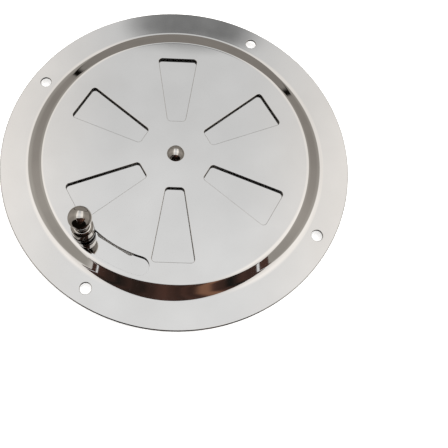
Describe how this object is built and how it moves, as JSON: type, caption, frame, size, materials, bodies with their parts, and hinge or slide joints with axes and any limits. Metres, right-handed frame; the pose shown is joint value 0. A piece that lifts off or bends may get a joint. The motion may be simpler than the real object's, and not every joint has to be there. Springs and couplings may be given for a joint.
{
  "type": "butterfly vent",
  "caption": "Round surface-mounted butterfly vent: a polished pressed cover with wedge openings and a slotted shutter turned behind it by a ball knob in a curved slot.",
  "frame": {"origin": "centre of the screw-hole circle, on the flange's back face, which lies on the bulkhead", "axes": "+Z out of the front along the pivot; -Y towards the middle of the knob's curved slot; a screw hole lies on each of +X, -X, +Y and -Y"},
  "size_m": [0.127, 0.127, 0.0245],
  "materials": {
    "polished_sheet": "mirror-polished stainless sheet",
    "polished_turned": "mirror-polished turned stainless",
    "plain_steel": "bright stainless, as made",
    "spring_steel": "spring-rolled stainless, slightly dull",
    "nylon": "natural nylon, satin"
  },
  "bodies": {
    "cover": {"cover_plate": "polished_sheet", "pivot_rivet": "polished_turned", "pivot_spacer": "nylon", "pivot_spring_washer": "spring_steel", "pivot_back_washer": "plain_steel"},
    "shutter": {"shutter_plate": "polished_sheet", "knob": "polished_turned", "knob_collar": "polished_turned", "knob_screw": "plain_steel", "knob_flat_washer": "plain_steel", "knob_lock_washer": "spring_steel"}
  },
  "joints": [
    {"name": "shutter_turn", "type": "hinge", "parent": "cover", "child": "shutter", "pos_m": [0, 0, 0], "axis": [0, 0, 1], "range_deg": [0, 30]}
  ]
}
